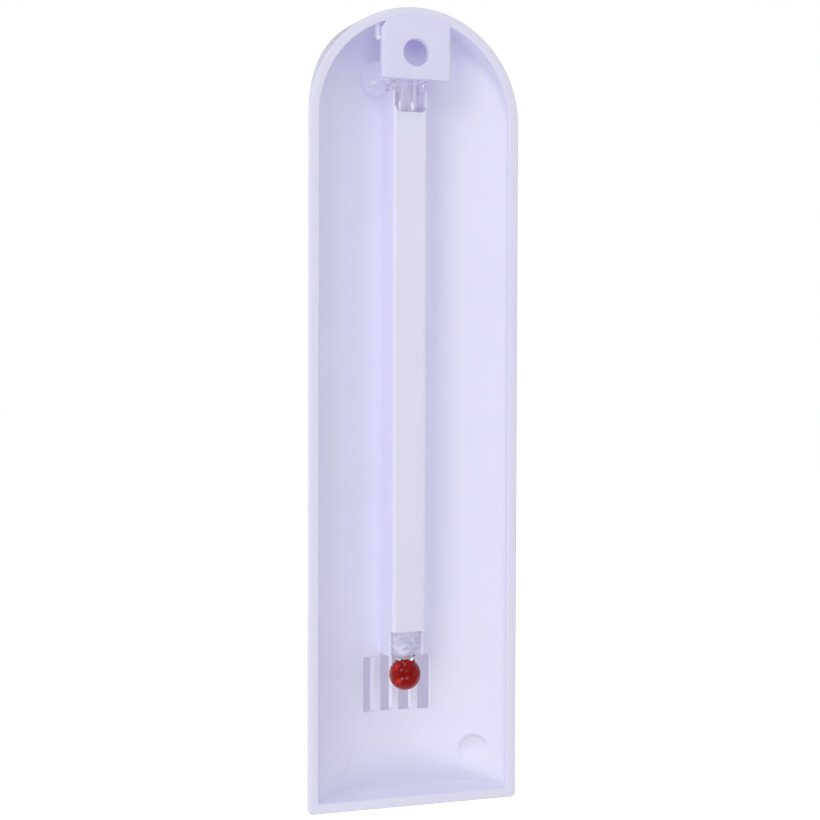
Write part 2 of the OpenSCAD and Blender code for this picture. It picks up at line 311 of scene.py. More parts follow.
def domeShade(tree):
    # the painted shade's mask: whole near its spot and fading out to its far reach, with the distance along Y
    # counted three times
    look = casePlastic
    return spotMask(tree, (-900, 400), look["shadeSpot"], look["shadeNear"], look["shadeFar"],
                    look["shadeStretch"])["Soft"]


caseWhite = plasticMaterial("caseWhite", casePlastic, domeShade)
plateWhite = plasticMaterial("plateWhite", hangerPlastic)
blackInk = plasticMaterial("blackInk", scaleInk)

stemGlass = dict(tint=(0.97, 0.97, 0.985), rough=0.01, ior=1.3, clear=1.0, waveScale=300, waveHeight=0.2,
                 bump=0.12)
# the glue's glow is painted light that brightens it
hotGlue = dict(tint=(0.965, 0.96, 1.0), rough=0.05, ior=1.2, clear=0.85, waveScale=480, waveHeight=0.7,
               bump=1.0, glow=(0.04, 0.04, 0.055), coatIor=1.7, coatRough=0.05)
beadCement = dict(tint=(0.965, 0.96, 1.0), rough=0.2, ior=1.4, clear=0.3, waveScale=900, waveHeight=0.2,
                  bump=0.4)

drawnGlass = clearMaterial("drawnGlass", stemGlass)[0]
setCement = clearMaterial("setCement", beadCement)[0]
setGlue, glueShader = clearMaterial("setGlue", hotGlue)
for label, value in (("Coat Weight", 1.0), ("Coat IOR", hotGlue["coatIor"]),
                     ("Coat Roughness", hotGlue["coatRough"]), ("Emission Color", opaque(hotGlue["glow"])),
                     ("Emission Strength", 1.0)):
    glueShader.inputs[label].default_value = value

# the glint colour at the listed spots is a painted highlight
bulbSpirit = dict(color=(0.20, 0.003, 0.002), deep=(0.34, 0.006, 0.004), glint=(0.9, 0.03, 0.015),
                  rim=(0.85, 0.06, 0.07), glintSpots=((2.58, -5.93, -154.5), (2.43, -4.85, -157.9)),
                  spotNear=0.1, spotFar=1.0)
# the column is so thin that light passes through it, and its glow is painted light standing for that
columnSpirit = dict(tint=(0.8, 0.02, 0.02), deep=(0.6, 0.012, 0.012), rough=0.3, bump=0.1,
                    glow=(0.3, 0.004, 0.004))


def spiritMaterial():
    # dyed spirit, with painted highlights at spots where a lamp would shine into the bulb
    look = bulbSpirit
    mat, tree, shader = newMaterial("redSpirit", {"Roughness": 0.3, "IOR": 1.36, "Specular IOR Level": 0.0})
    point = objectPoint(tree, (-900, 0))
    cloud = addNode(tree, "TexNoise", (-700, 0), {"Vector": point, "Scale": 420, "Detail": 2})
    color = mixColors(tree, (-300, 0), cloud, opaque(look["color"]), opaque(look["deep"]))
    for k, spot in enumerate(look["glintSpots"]):
        near = spotMask(tree, (-500, -300 - 300 * k), spot, look["spotNear"], look["spotFar"])["Linear"]
        color = mixColors(tree, (-150 + 150 * k, -200), near, color, opaque(look["glint"]))
    # at grazing angles the red is painted lighter: a painted sheen along the bulb's edge
    edge = addNode(tree, "LayerWeight", (-100, 300), {"Blend": 0.25}).outputs["Facing"]
    feed(tree, shader.inputs["Base Color"], mixColors(tree, (250, 0), edge, color, opaque(look["rim"])))
    return mat


redSpirit = spiritMaterial()
thinSpirit = plasticMaterial("thinSpirit", columnSpirit)

# the ribbon behind the bore, whose glow is painted light; a painted highlight streak stands for a lamp
# mirrored along the stem: its x, its z and its share
backEnamel = dict(color=(0.68, 0.65, 0.82), deep=(0.38, 0.375, 0.54), glow=(0.16, 0.155, 0.21),
                  shoulderLow=-147.5, shoulderHigh=-145.5, highlightColor=(0.95, 0.95, 0.98),
                  highlightGlow=(0.55, 0.54, 0.6), highlightStreaks=((2.1, -12.6, 0.5), (-0.95, -12.8, 0.65)),
                  highlightNear=0.1, highlightFar=0.38, highlightStretch=(1, 0, 0.2))
# the front enamel's glow is painted light that brightens it behind the glass
faceEnamel = dict(tint=(0.86, 0.86, 0.90), deep=(0.86, 0.86, 0.90), rough=0.5, bump=0.1,
                  glow=(0.2, 0.2, 0.21))


def enamelMaterial():
    # white enamel behind the glass: fine streaks drawn out along the stem, a coarse slanting noise on the
    # shoulder above the bulb, and painted highlight streaks that glow where a lamp would be mirrored
    look = backEnamel
    mat, tree, shader = newMaterial("whiteEnamel", {"Roughness": 0.5, "Emission Strength": 1.0})
    point = objectPoint(tree, (-1100, 0))
    drawn = addNode(tree, "Mapping", (-900, 0), {"Vector": point, "Scale": (1, 1, 0.06)})
    fine = addNode(tree, "TexNoise", (-700, 0), {"Vector": drawn, "Scale": 620, "Detail": 2})
    feeds = {"Vector": point, "Rotation": (0, 0.5, 0), "Scale": (0.8, 1, 1.9)}
    slant = addNode(tree, "Mapping", (-900, -400), feeds)
    feeds = {"Vector": slant, "Scale": 330, "Detail": 1.5, "Distortion": 1.2}
    coarse = addNode(tree, "TexNoise", (-700, -400), feeds)
    height = addNode(tree, "SeparateXYZ", (-900, -700), {"Vector": point}).outputs["Z"]
    feeds = {"Value": height, "From Min": look["shoulderLow"] * mm, "From Max": look["shoulderHigh"] * mm,
             "To Min": 1, "To Max": 0}
    foot = addNode(tree, "MapRange", (-700, -700), feeds)
    either = addNode(tree, "Mix", (-600, -200), {"Factor": foot, "A": fine, "B": coarse})
    step = addNode(tree, "MapRange", (-500, 0), {"Value": either, "From Min": 0.38, "From Max": 0.62})
    color = mixColors(tree, (-300, 0), step, opaque(look["deep"]), opaque(look["color"]))
    glow = opaque(look["glow"])
    # painted highlights: near each streak the colour and the glow turn light
    for k, (x, z, share) in enumerate(look["highlightStreaks"]):
        near = spotMask(tree, (-300, 400 + 300 * k), (x, 0, z), look["highlightNear"], look["highlightFar"],
                        look["highlightStretch"], share)["Soft"]
        color = mixColors(tree, (-100 + 200 * k, 300), near, color, opaque(look["highlightColor"]))
        glow = mixColors(tree, (-100 + 200 * k, 600), near, glow, opaque(look["highlightGlow"]))
    feed(tree, shader.inputs["Base Color"], color)
    feed(tree, shader.inputs["Emission Color"], glow)
    return mat


whiteEnamel = enamelMaterial()
frontEnamel = plasticMaterial("frontEnamel", faceEnamel)
print("materials made")


# mesh helpers

def gridFaces(rows, cols, wrapRows=False, wrapCols=False):
    # quads between neighbouring points of a grid that may close on itself
    r, c = np.meshgrid(np.arange(rows if wrapRows else rows - 1),
                       np.arange(cols if wrapCols else cols - 1), indexing="ij")
    r2, c2 = (r + 1) % rows, (c + 1) % cols
    return np.stack([r * cols + c, r * cols + c2, r2 * cols + c2, r2 * cols + c], -1).reshape(-1, 4)


def net(grid, wrapRows=False, wrapCols=False, flip=False):
    # a grid of points with its faces, which flip turns inside out
    faces = gridFaces(*grid.shape[:2], wrapRows, wrapCols)
    return grid, faces[:, ::-1] if flip else faces


def newPiece(name, parts, material, sharpAngle=32, outward=True):
    # joins (points in mm, faces) parts into one welded mesh whose faces point outwards
    points, faces, start = [], [], 0
    for pts, fcs in parts:
        pts = np.asarray(pts, float).reshape(-1, 3)
        points.append(pts)
        faces += [tuple(int(v) + start for v in f) for f in fcs]
        start += len(pts)
    mesh = bpy.data.meshes.new(name)
    mesh.from_pydata((np.concatenate(points) * mm).tolist(), [], faces)
    bm = bmesh.new()
    bm.from_mesh(mesh)
    bmesh.ops.remove_doubles(bm, verts=bm.verts, dist=1e-6)
    bmesh.ops.dissolve_degenerate(bm, edges=bm.edges, dist=1e-7)
    if outward:
        bmesh.ops.recalc_face_normals(bm, faces=bm.faces)
    bm.to_mesh(mesh)
    bm.free()
    obj = bpy.data.objects.new(name, mesh)
    scene.collection.objects.link(obj)
    mesh.materials.append(material)
    smooth(obj, sharpAngle)
    return obj


def smooth(obj, sharpAngle):
    # smooth shading, with sharp edges where faces meet at more than the angle
    obj.data.polygons.foreach_set("use_smooth", np.ones(len(obj.data.polygons), bool))
    obj.data.set_sharp_from_angle(angle=math.radians(sharpAngle))


def applyAll(obj, sharpAngle=32):
    # turns an object's modifiers into its mesh
    graph = bpy.context.evaluated_depsgraph_get()
    made = bpy.data.meshes.new_from_object(obj.evaluated_get(graph))
    obj.modifiers.clear()
    obj.data = made
    smooth(obj, sharpAngle)


def cutAway(obj, parts):
    # takes closed solids out of a piece
    tool = newPiece("tool", parts, obj.data.materials[0])
    cut = obj.modifiers.new("cut", "BOOLEAN")
    cut.operation = "DIFFERENCE"
    cut.solver = "EXACT"
    cut.object = tool
    applyAll(obj)
    bpy.data.objects.remove(tool)


def roundEdges(obj, width):
    # three steps round every edge of more than 35 degrees
    edge = obj.modifiers.new("edge", "BEVEL")
    edge.width = width * mm
    edge.segments = 3
    edge.limit_method = "ANGLE"
    edge.angle_limit = math.radians(35)
    edge.harden_normals = False
    applyAll(obj, 40)


def quarter(steps, skip=0):
    # a quarter round of radius one at even angles: one minus the cosine, and one minus the sine
    t = np.linspace(0, math.pi / 2, steps)[skip:]
    return 1 - np.cos(t), 1 - np.sin(t)


def prism(loop, low, high, axis):
    # a closed loop carried from low to high along y or z, with both ends capped
    loop = np.asarray(loop, float)
    n = len(loop)
    ends = []
    for level in (low, high):
        flat = np.full(n, float(level))
        ends.append(np.stack([loop[:, 0]] + ([flat, loop[:, 1]] if axis == "y" else [loop[:, 1], flat]), -1))
    sides = [tuple(f) for f in gridFaces(2, n, wrapCols=True)]
    caps = [tuple(range(n)), tuple(range(2 * n - 1, n - 1, -1))]
    return np.concatenate(ends), sides + caps


def box(low, high):
    # a closed box between its two far corners
    (x0, y0, z0), (x1, y1, z1) = low, high
    return prism([(x0, z0), (x1, z0), (x1, z1), (x0, z1)], y0, y1, "y")


def roundedRect(x0, x1, z0, z1, r, steps=6):
    # a rectangle whose corners are quarter circles
    t = np.linspace(0, math.pi / 2, steps)
    quarters = []
    for k, (x, z) in enumerate(((x1 - r, z1 - r), (x0 + r, z1 - r), (x0 + r, z0 + r), (x1 - r, z0 + r))):
        a = t + k * math.pi / 2
        quarters.append(np.stack([x + r * np.cos(a), z + r * np.sin(a)], -1))
    return np.concatenate(quarters)


# the case

# fade is the power of the sine by which the dome's rounding gives way to the side's
case = dict(halfWidth=27.9, foot=-188.8, top=11.2, crownAxis=20.5, innerRadius=33.7, plate=2.0, wall=2.5,
            corner=1.1, footFillet=0.8, footEdge=1.0, rimRound=0.35, sideFillet=0.6, domeFillet=2.6,
            sideEdge=0.4, domeEdge=1.7, domeRows=44, straightRows=30, footRows=10,
            wallCols=4, filletCols=9, floorCols=36, fade=1.5, footLift=(0.34, 0.67, 1.0), leastWall=0.02)
domeZ = case["top"] - case["halfWidth"]
outerRadius = case["innerRadius"] + case["plate"]
frontY = case["crownAxis"] - outerRadius


def crownY(x, radius):
    # the crown is a cylinder along Z
    return case["crownAxis"] - np.sqrt(np.maximum(radius ** 2 - x ** 2, 0))


def trayRows(inset, radius, sideRound, domeRound, footRound, cornerRound):
    # one row for each height: its wall point, its way inwards, its crown radius, the rounding of its edge,
    # and its lift, which raises the last rows in steps to the rim as the foot's wall
    phi = np.linspace(math.pi / 2, 0, case["domeRows"])
    half = case["halfWidth"] - inset
    wallX, wallZ = half * np.cos(phi), domeZ + half * np.sin(phi)
    inX, inZ = -np.cos(phi), -np.sin(phi)
    floorZ = case["foot"] + inset
    straight = np.linspace(domeZ, floorZ + max(footRound, cornerRound), case["straightRows"])[1:]
    bend, drop = quarter(case["footRows"], 1)
    footZ = floorZ + max(footRound, cornerRound) * drop
    lift = np.array(case["footLift"])
    n, m, k = len(straight), len(footZ), len(lift)
    wallX = np.r_[wallX, np.full(n, half), half - cornerRound * bend, np.full(k, half - cornerRound)]
    wallZ = np.r_[wallZ, straight, footZ, np.full(k, floorZ)]
    inX = np.r_[inX, np.full(n + m + k, -1.0)]
    inZ = np.r_[inZ, np.zeros(n + m + k)]
    rad = np.r_[np.full(len(phi) + n, radius), radius - footRound * bend, np.full(k, radius - footRound)]
    edge = sideRound + (domeRound - sideRound) * np.r_[np.sin(phi) ** case["fade"], np.zeros(n + m + k)]
    up = np.r_[np.zeros(len(phi) + n + m), lift]
    return [a[:, None] for a in (wallX, wallZ, inX, inZ, rad, edge, up)]


def tray(inset, radius, sideRound, domeRound, footRound, cornerRound):
    # each row runs down the wall, round a quadratic curve whose control point is the corner, and over the
    # crown to the middle; the other half is its mirror image
    wallX, wallZ, inX, inZ, rad, edge, up = trayRows(inset, radius, sideRound, domeRound, footRound,
                                                     cornerRound)
    # near the middle of the dome the rounding ends before it crosses the middle plane
    d2 = np.minimum(edge, np.maximum(wallX, 1e-4) / np.maximum(-inX, 1e-4) * 0.98)
    x2, z2 = wallX + inX * d2, wallZ + inZ * d2
    y2 = crownY(x2, rad)
    slope = x2 / np.sqrt(rad ** 2 - x2 ** 2) * inX
    cornerY = y2 - slope * d2
    rim = -case["rimRound"]
    y0 = np.minimum(cornerY + edge, rim - case["leastWall"])
    s = np.linspace(0, 1, case["wallCols"])[None, :]
    wx, wy, wz = wallX + 0 * s, rim + (y0 - rim) * s, wallZ + 0 * s
    b = np.linspace(0, 1, case["filletCols"])[None, 1:]
    bx, bz = wallX + inX * d2 * b ** 2, wallZ + inZ * d2 * b ** 2
    by = y0 * (1 - b) ** 2 + cornerY * 2 * b * (1 - b) + y2 * b ** 2
    f = np.linspace(1, 0, case["floorCols"])[None, 1:]
    fx, fz = x2 * f, z2 + 0 * f
    fy = crownY(fx, rad)
    x, y, z = np.hstack([wx, bx, fx]), np.hstack([wy, by, fy]), np.hstack([wz, bz, fz])
    y = y + (rim - y) * up
    x, y, z = (np.hstack([a, g[:, -2::-1]]) for a, g in ((x, -x), (y, y), (z, z)))
    return np.stack([x, y, z], -1)


def rimStrip(inner, outer):
    # from the inner wall to the outer one: a quarter round, the flat rim and a quarter round
    def border(grid):
        return np.concatenate([grid[:, 0], grid[-1, 1:], grid[-2::-1, -1]])
    a, b = border(inner), border(outer)
    way = (b - a)[:, [0, 2]]
    span = np.linalg.norm(way, axis=1, keepdims=True)
    way = way / span
    r = case["rimRound"]
    bend, drop = quarter(6)
    s = np.hstack([r * bend + 0 * span, span - r * bend[::-1]])
    y = np.r_[-r * drop, -r * drop[::-1]] + 0 * span
    return np.stack([a[:, :1] + way[:, :1] * s, y, a[:, 2:] + way[:, 1:] * s], -1)


innerTray = tray(case["wall"], case["innerRadius"], case["sideFillet"], case["domeFillet"],
                 case["footFillet"], 0)
outerTray = tray(0, outerRadius, case["sideEdge"], case["domeEdge"], case["footEdge"], case["corner"])
rim = rimStrip(innerTray, outerTray)
shell = newPiece("caseShell", [net(grid) for grid in (innerTray, outerTray, rim)], caseWhite)

grille = dict(count=4, width=3.3, pitch=5.05, middle=0.3, low=-166.8, high=-152.6, corner=0.25)
window = dict(half=4.05, low=-145.4, high=-14.3, bevel=0.8)
seat = dict(radius=26.1, left=-9.2, right=8.2, deep=2.0, low=4.0)
# how far a cutting tool starts before the front, where it ends, and how far it stands out of the back
cutter = dict(before=1.8, back=-11.0, out=1.0)


def squareToCrown(points, x):
    # turns points about the crown's axis, from the middle plane to where the crown is x aside
    lean = math.asin(x / case["innerRadius"])
    p = np.asarray(points, float).reshape(-1, 3)
    u, v = p[:, 0], p[:, 1] - case["crownAxis"]
    return np.stack([u * math.cos(lean) - v * math.sin(lean),
                     case["crownAxis"] + u * math.sin(lean) + v * math.cos(lean), p[:, 2]], -1)


def slotTools():
    # upright openings at even steps about the middle one's place, each square to the crown where it stands
    g = grille
    tools = []
    for i in range(g["count"]):
        loop = roundedRect(-g["width"] / 2, g["width"] / 2, g["low"], g["high"], g["corner"])
        pts, faces = prism(loop, frontY - cutter["before"], cutter["back"], "y")
        tools.append((squareToCrown(pts, g["middle"] + (i - (g["count"] - 1) / 2) * g["pitch"]), faces))
    return tools


def windowTool():
    # a straight way that flares at 45 degrees towards the front
    rings = []
    for y, grow in ((frontY - cutter["before"], window["bevel"] + cutter["before"]),
                    (frontY + window["bevel"], 0), (cutter["back"], 0)):
        x, z0, z1 = window["half"] + grow, window["low"] - grow, window["high"] + grow
        rings.append([(-x, y, z0), (x, y, z0), (x, y, z1), (-x, y, z1)])
    faces = [tuple(f) for f in gridFaces(3, 4, wrapCols=True)] + [(0, 1, 2, 3), (11, 10, 9, 8)]
    return np.array(rings), faces


def seatTool():
    # the hanger plate's bed in the dome, round at the top
    low, high = (math.asin(seat[end] / seat["radius"]) for end in ("left", "right"))
    a = np.linspace(low, high, 41)
    arc = np.stack([seat["radius"] * np.sin(a), domeZ + seat["radius"] * np.cos(a)], -1)
    lowEnds = [(seat["right"], seat["low"]), (seat["left"], seat["low"])]
    return prism(np.concatenate([arc, lowEnds]), -seat["deep"], cutter["out"], "y")


cutAway(shell, slotTools() + [windowTool(), seatTool()])
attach(shell, "thermometer")
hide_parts("case_shell")
print("case shell:", len(shell.data.polygons), "faces")

# the marks of the ejector pins: turn, in degrees, is where the lip is highest, and even its share all round
pinMarks = dict(left=dict(x=16.8, z=-177.7, size=7.4, lip=0.14, dish=0.0, turn=-125, even=1.0,
                          lipShade=0.20, faceShade=0.05),
                right=dict(x=-19.1, z=-177.4, size=8.0, lip=0.34, dish=0.55, turn=72, even=0.5,
                           lipShade=0.32, faceShade=0.34))
# across the lip, from outside to the middle: how far past the mark's edge, the lip's height and the dish's
pinSection = np.array([(0.7, -0.15, 0), (0.45, 0.02, 0), (0.3, 0.45, 0), (0.15, 0.85, 0), (0, 1, 0.4),
                       (-0.15, 0.9, 0.75), (-0.3, 0.62, 1), (-0.5, 0.4, 0.96), (-0.8, 0.2, 0.86),
                       (-1.3, 0.1, 0.66), (-2.0, 0.05, 0.42), (-2.8, 0.02, 0.2)])
# the last number darkens the case's tint to the colour of the painted shade on the marks
pinSheet = dict(lift=0.012, sunk=-0.05, around=120, middle=0.002, middleLip=0.01, shadeFactor=0.62)


def pinNarrowing(mark):
    # a round pin square to the crown looks narrower from behind
    return math.sqrt(1 - (mark["x"] / case["innerRadius"]) ** 2)


def pinMark(mark):
    # a sheet on the crown: the lip that an ejector pin leaves, highest towards its turn, and the face in it
    middle = (pinSheet["middle"] - mark["size"] / 2, pinSheet["middleLip"], 0)
    aside, lip, dish = np.vstack([pinSection, middle]).T[:, :, None]
    a = np.linspace(0, 2 * math.pi, pinSheet["around"], endpoint=False)
    share = mark["even"] + (1 - mark["even"]) * np.cos(a - math.radians(mark["turn"]))
    r = mark["size"] / 2 + aside
    x, z = mark["x"] + r * np.cos(a) * pinNarrowing(mark), mark["z"] + r * np.sin(a)
    relief = lip * (1 - mark["dish"]) + dish * mark["dish"]
    high = pinSheet["lift"] + mark["lip"] * np.maximum(share, 0) * relief
    high[0] = pinSheet["sunk"]
    # the height is laid off towards the crown's axis
    rad = case["innerRadius"] - high
    lean = np.arcsin(x / case["innerRadius"])
    return np.stack([rad * np.sin(lean), case["crownAxis"] - rad * np.cos(lean), z], -1)


def pinMaterial(name, mark):
    # the case's plastic with painted shade on the lip towards its turn and a little on the face beside it
    turn = math.radians(mark["turn"])
    feeds = {"Middle": (mark["x"] * mm, 0, mark["z"] * mm), "Widen": (1 / pinNarrowing(mark), 0, 1),
             "Toward": (math.cos(turn), 0, math.sin(turn)), "Radius": mark["size"] / 2 * mm,
             "Lip Shade": mark["lipShade"], "Face Shade": mark["faceShade"]}
    look = dict(casePlastic, shade=[pinSheet["shadeFactor"] * v for v in casePlastic["tint"]])
    return plasticMaterial(name, look,
                           lambda tree: addNode(tree, "Group", (-900, 400), feeds, node_tree=pinGroup))


for side, mark in pinMarks.items():
    pad = newPiece(side + "PinMark", [net(pinMark(mark), wrapCols=True)], pinMaterial(side + "Pin", mark), 60,
                   outward=False)
    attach(pad, "thermometer")
print("pin marks made")


# the tube channel, its saddles and the lug

tube = dict(y=-7.0, half=3.95, back=2.6, lens=3.6, bulb=4.05, bulbZ=-156.6, waist=2.7, foot=-151.9, head=-5.6,
            footRound=1.2, endRound=1.9, pinch=0.22, neckOver=0.3, wall=0.55, bore=0.2, throat=0.8,
            throatZ=-152.8, throatEnd=0.08, chamber=0.9, chamberZ=-13.0, chamberLength=3.4, around=96,
            cap=(0.7, 0.4, 0.15, 0))
channel = dict(inHalf=4.05, outHalf=4.65, back=-3.7, cover=0.6, corner=1.1, flare=0.3, low=-151.7, high=-8.8,
               coverLow=-145.4, coverHigh=-14.3, notch=1.4, topLip=-4.4, footLip=-6.0, edge=0.1, sunk=0.5,
               start=0.02)


def channelLoop():
    # half the section: a flare on the floor, the wall, a quarter round and the flat back; the other half is
    # its mirror image
    c = channel
    out, up = quarter(7)[::-1]
    floor = crownY(c["outHalf"] + c["flare"], case["innerRadius"])
    foot = [(c["outHalf"] + c["flare"], floor - c["sunk"]), (c["outHalf"] + c["flare"], floor - c["start"])]
    flare = np.stack([c["outHalf"] + c["flare"] * out, floor + c["flare"] * up], -1)[1:]
    turn = np.stack([c["outHalf"] - c["corner"] * up, c["back"] - c["corner"] * out], -1)
    half = np.concatenate([foot, flare, turn])
    return np.concatenate([half, half[::-1] * (-1, 1)])


def notchLoop():
    # the U between the upper ears
    c = channel
    up, short = quarter(8)
    right = np.stack([c["inHalf"] - c["notch"] * short, c["coverHigh"] + c["notch"] * up], -1)
    return np.concatenate([right, [(c["inHalf"], 0), (-c["inHalf"], 0)], right[::-1] * (-1, 1)])


tubeChannel = newPiece("tubeChannel", [prism(channelLoop(), channel["low"], channel["high"], "z")], caseWhite)
c = channel
front, behind, aside, over = -18, 3, 6.5, 2  # the cutting tools end past the channel on all sides
hollow = box((-c["inHalf"], front, c["low"] - over), (c["inHalf"], c["back"] - c["cover"], over))
cutAway(tubeChannel, [hollow])
cutAway(tubeChannel, [prism(notchLoop(), front, behind, "y")])
cutAway(tubeChannel, [box((-c["inHalf"], front, c["low"] - over), (c["inHalf"], behind, c["coverLow"]))])
cutAway(tubeChannel, [box((-aside, c["topLip"], c["coverHigh"] + c["notch"]), (aside, behind, over)),
                      box((-aside, c["footLip"], c["low"] - over), (aside, behind, c["coverLow"]))])
roundEdges(tubeChannel, c["edge"])
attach(tubeChannel, "thermometer")

saddle = dict(places=(-148.4, -12.8), length=1.5, low=-13.7, high=-8.0, grip=0.05, gap=0.05, steps=56)


def stemSection(gap):
    # the stem's outline and a gap round it: a flat oval at the back, fuller in front
    a = np.linspace(0, 2 * math.pi, saddle["steps"], endpoint=False)
    depth = np.where(np.sin(a) > 0, tube["back"], tube["lens"]) + gap
    return np.stack([(tube["half"] + gap) * np.cos(a), tube["y"] + depth * np.sin(a)], -1)


reach = c["inHalf"] + saddle["grip"]
saddleBoxes = [box((-reach, saddle["low"], z), (reach, saddle["high"], z + saddle["length"]))
               for z in saddle["places"]]
saddles = newPiece("stemSaddles", saddleBoxes, caseWhite)
cutAway(saddles, [prism(stemSection(saddle["gap"]), c["low"] - over, 0, "z")])
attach(saddles, "thermometer")

lug = dict(near=9.2, far=10.1, back=-1.6, front=-3.1, low=3.4, high=8.2, edge=0.12)
lugBox = box((lug["near"], lug["front"], lug["low"]), (lug["far"], lug["back"], lug["high"]))
sideLug = newPiece("sideLug", [lugBox], caseWhite)
roundEdges(sideLug, lug["edge"])
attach(sideLug, "thermometer")
print("channel and lug made")


# the glass tube

def glassOutside():
    # rings up the tube: the ball, the waist, the rounded foot of the stem, the stem and its end, rounded
    # by fire
    w, fr = tube["waist"], tube["footRound"]
    t = np.linspace(-math.pi / 2, math.acos(w / tube["bulb"]), 40)
    ballZ, ballR = tube["bulbZ"] + tube["bulb"] * np.sin(t), tube["bulb"] * np.cos(t)
    # a neck with a hollow curve at both ends, then a quarter round outwards
    low, high = ballZ[-1], tube["foot"]
    n = np.linspace(0, 1, 9)[1:]
    waistZ = low + (high - low) * n
    pinch = w - tube["pinch"] * np.sin(math.pi * n)
    q = np.linspace(0, math.pi / 2, 10)[1:]
    footZ = tube["foot"] + fr * (1 - np.cos(q))
    swell = np.sin(q)
    spread = [v - fr + fr * swell for v in (tube["half"], tube["back"], tube["lens"])]
    neckZ = np.r_[waistZ, footZ]
    side, back, front = (np.r_[np.minimum(pinch, v + tube["neckOver"]), np.maximum(row, np.minimum(w, v))]
                         for v, row in zip((tube["half"], tube["back"], tube["lens"]), spread))
    stemZ = np.linspace(neckZ[-1], tube["head"] - tube["endRound"], 40)[1:]
    bend, drop = quarter(12, 1)
    endZ = tube["head"] - tube["endRound"] * drop
    shrink = 1 - tube["endRound"] / tube["half"] * bend
    capZ, cap = np.full(len(tube["cap"]), tube["head"]), shrink[-1] * np.array(tube["cap"])
    z = np.r_[ballZ, neckZ, stemZ, endZ, capZ]
    one = np.ones(len(stemZ))
    tail = np.r_[one, shrink, cap]
    side, back, front = (np.r_[ballR, a, v * tail] for a, v in
                         ((side, tube["half"]), (back, tube["back"]), (front, tube["lens"])))
    a = np.linspace(0, 2 * math.pi, tube["around"], endpoint=False)[None, :]
    depth = np.where(np.sin(a) > 0, back[:, None], front[:, None])
    return np.stack([side[:, None] * np.cos(a), tube["y"] + depth * np.sin(a), z[:, None] + 0 * a], -1)


def revolve(radii, heights, around):
    # a profile turned about the tube's own axis
    a = np.linspace(0, 2 * math.pi, around, endpoint=False)[None, :]
    r, z = np.asarray(radii, float)[:, None], np.asarray(heights, float)[:, None]
    return np.stack([r * np.cos(a), tube["y"] + r * np.sin(a), z + 0 * a], -1)


def hollowProfile(grow=0.0):
    # the inside of the ball and the throat, as radii and heights
    r = tube["bulb"] - tube["wall"] + grow
    throat = tube["throat"] + grow
    t = np.linspace(-math.pi / 2, math.acos(throat / r), 36)
    heights = np.r_[tube["bulbZ"] + r * np.sin(t), tube["throatZ"] - tube["throatEnd"], tube["throatZ"]]
    return np.r_[r * np.cos(t), throat, throat], heights


def glassInside():
    # the ball, the throat, the bore and the chamber at its top, turned about one axis
    r, z = hollowProfile()
    t = np.linspace(0, math.pi / 2, 10)
    low, high = tube["chamberZ"], tube["chamberZ"] + tube["chamberLength"]
    q = tube["chamber"]
    start = math.acos(tube["bore"] / q)
    lower = np.linspace(-start, 0, 10)
    boreZ = np.linspace(tube["throatZ"], low + q * math.sin(-start), 24)
    r = np.r_[r, np.full(24, tube["bore"]), q * np.cos(lower), q * np.cos(t)]
    z = np.r_[z, boreZ, low + q * np.sin(lower), high + q * np.sin(t)]
    return revolve(r, z, 48)


glassWalls = [net(glassOutside(), wrapCols=True), net(glassInside(), wrapCols=True, flip=True)]
glass = newPiece("glassTube", glassWalls, drawnGlass, 50, outward=False)
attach(glass, "thermometer")
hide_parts("glass_tube")

enamel = dict(half=3.72, bend=8.0, near=0.85, thick=0.22, low=-151.6, high=-6.0, footRound=1.2,
              headRound=1.9, footRun=2.0, headRun=2.5, rows=30)


def enamelRibbon():
    # a shallow arch behind the bore, whose half width follows a quarter round at each end
    e = enamel
    bend, short = quarter(9)
    straight = np.linspace(e["low"] + e["footRun"], e["high"] - e["headRun"], e["rows"])
    z = np.r_[e["low"] + e["footRound"] * bend, straight, e["high"] - e["headRound"] * bend[::-1]]
    half = np.r_[e["half"] - e["footRound"] * short, np.full(e["rows"], e["half"]),
                 e["half"] - e["headRound"] * short[::-1]][:, None]
    x = half * np.linspace(-1, 1, 25)
    y = tube["y"] + e["near"] + np.sqrt(e["bend"] ** 2 - x ** 2) - e["bend"]
    z = z[:, None] + 0 * x
    grid = np.concatenate([np.stack([x, y, z], -1), np.stack([x, y + e["thick"], z], -1)[:, ::-1]], 1)
    rows, cols = grid.shape[:2]
    caps = [tuple(range(cols)), tuple(range(rows * cols - 1, rows * cols - cols - 1, -1))]
    return grid, [tuple(f) for f in gridFaces(rows, cols, wrapCols=True)] + caps


ribbon = newPiece("enamelRibbon", [enamelRibbon()], whiteEnamel)
ribbon.data.materials.append(frontEnamel)
for face in ribbon.data.polygons:
    face.material_index = int(face.normal.y < 0)
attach(ribbon, "thermometer")

spirit = dict(into=0.015, ring=0.5)  # how far the fill reaches into the glass, and a ring on its top
fillR, fillZ = hollowProfile(spirit["into"])
fill = revolve(np.r_[fillR, spirit["ring"], 0], np.r_[fillZ, tube["throatZ"], tube["throatZ"]],
               tube["around"])
spiritFill = newPiece("spiritFill", [net(fill, wrapCols=True)], redSpirit, 50)
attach(spiritFill, "thermometer")
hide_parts("spirit_fill")

column = dict(radius=0.15, foot=-152.8, joint=-73.0, head=-61.0, dish=0.07, rings=60, around=24)


def threadSurface():
    # a rod of many rings, so that it stretches evenly
    z = np.linspace(column["foot"], column["joint"], column["rings"])
    r = np.full(len(z), column["radius"])
    return revolve(np.r_[0, r, 0], np.r_[z[0], z, z[-1]], column["around"])


def headSurface():
    # a short rod whose top is the hollow of the meniscus
    r, low, high = column["radius"], column["joint"], column["head"]
    t = np.linspace(0, math.pi / 2, 8)
    return revolve(np.r_[0, r, r, r * np.cos(t)], np.r_[low, low, high, high - column["dish"] * np.sin(t)],
                   column["around"])


